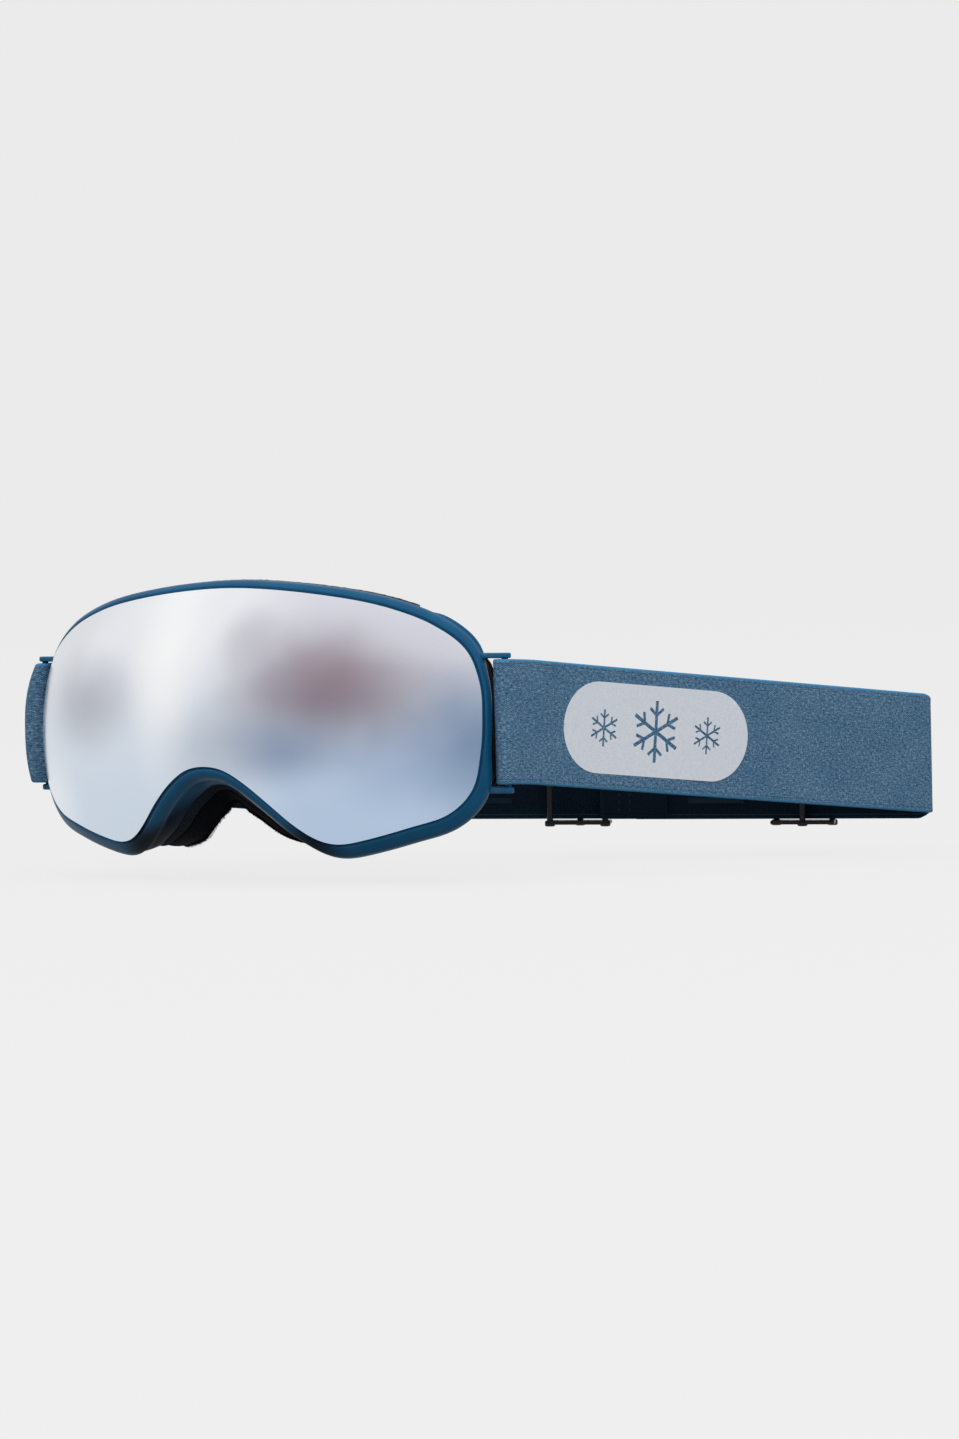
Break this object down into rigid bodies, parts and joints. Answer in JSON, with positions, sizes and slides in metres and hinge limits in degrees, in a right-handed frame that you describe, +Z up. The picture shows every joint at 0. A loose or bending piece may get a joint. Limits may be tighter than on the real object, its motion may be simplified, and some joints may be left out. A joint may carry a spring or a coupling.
{
  "type": "ski goggles",
  "caption": "Ski goggles with a mirrored wrap lens in a moulded frame, layered face foam and a woven elastic strap with slide adjusters.",
  "frame": {"origin": "centre of the bounding box in plan, at the height of the lowest point", "axes": "+X towards the wearer's left, along the longest side; +Y back from the lens towards the wearer's head; +Z up"},
  "size_m": [0.2388, 0.1958, 0.0859],
  "materials": {
    "frame_tpu": "satin moulded",
    "mirror_lens": "silver mirror coating on polycarbonate",
    "inner_lens": "clear tinted sheet",
    "spacer_foam": "closed-cell foam",
    "vent_foam": "open-cell foam",
    "charcoal_foam": "foam",
    "black_foam": "foam",
    "fleece": "brushed fleece",
    "strap_webbing": "woven elastic, flecked",
    "tab_webbing": "woven elastic",
    "thread": "sewing thread",
    "slider_plastic": "moulded",
    "print_rubber": "matt transfer",
    "grip_rubber": "silicone line"
  },
  "bodies": {
    "goggle": {"frame": "frame_tpu", "outer_lens": "mirror_lens", "lens_spacer": "spacer_foam", "inner_lens": "inner_lens", "top_vent_foam": "vent_foam", "face_foam_base": "charcoal_foam", "face_foam_core": "black_foam", "face_fleece": "fleece"},
    "strap": {"strap_left_band": "strap_webbing", "strap_right_band": "strap_webbing", "strap_print": "print_rubber", "silicone_grip": "grip_rubber"},
    "left_loop": {"left_end_loop": "strap_webbing", "left_loop_stitching": "thread"},
    "right_loop": {"right_end_loop": "strap_webbing", "right_loop_stitching": "thread"},
    "front_adjuster": {"front_slider": "slider_plastic", "front_sewn_tab": "tab_webbing", "front_tab_stitching": "thread"},
    "rear_adjuster": {"rear_slider": "slider_plastic", "rear_sewn_tab": "tab_webbing", "rear_tab_stitching": "thread"}
  },
  "joints": [
    {"name": "strap_tilt", "type": "hinge", "parent": "goggle", "child": "strap", "pos_m": [-0.02556, -0.0624, 0.04099], "axis": [1, 0, 0], "range_deg": [-3, 3]},
    {"name": "left_loop_swing", "type": "hinge", "parent": "strap", "child": "left_loop", "pos_m": [0.06294, -0.0624, 0.04099], "axis": [0, 0, 1], "range_deg": [-10, 10]},
    {"name": "right_loop_swing", "type": "hinge", "parent": "strap", "child": "right_loop", "pos_m": [-0.11406, -0.0624, 0.04099], "axis": [0, 0, 1], "range_deg": [-10, 10]},
    {"name": "front_slide", "type": "slide", "parent": "strap", "child": "front_adjuster", "axis": [0.9055, 0.4242, -0.013], "range_m": [-0.008, 0.008]},
    {"name": "rear_slide", "type": "slide", "parent": "strap", "child": "rear_adjuster", "axis": [0.9055, 0.4242, -0.013], "range_m": [-0.008, 0.008]}
  ],
  "couplings": [
    {"joint": "rear_slide", "follows": "front_slide", "ratio": -1}
  ]
}
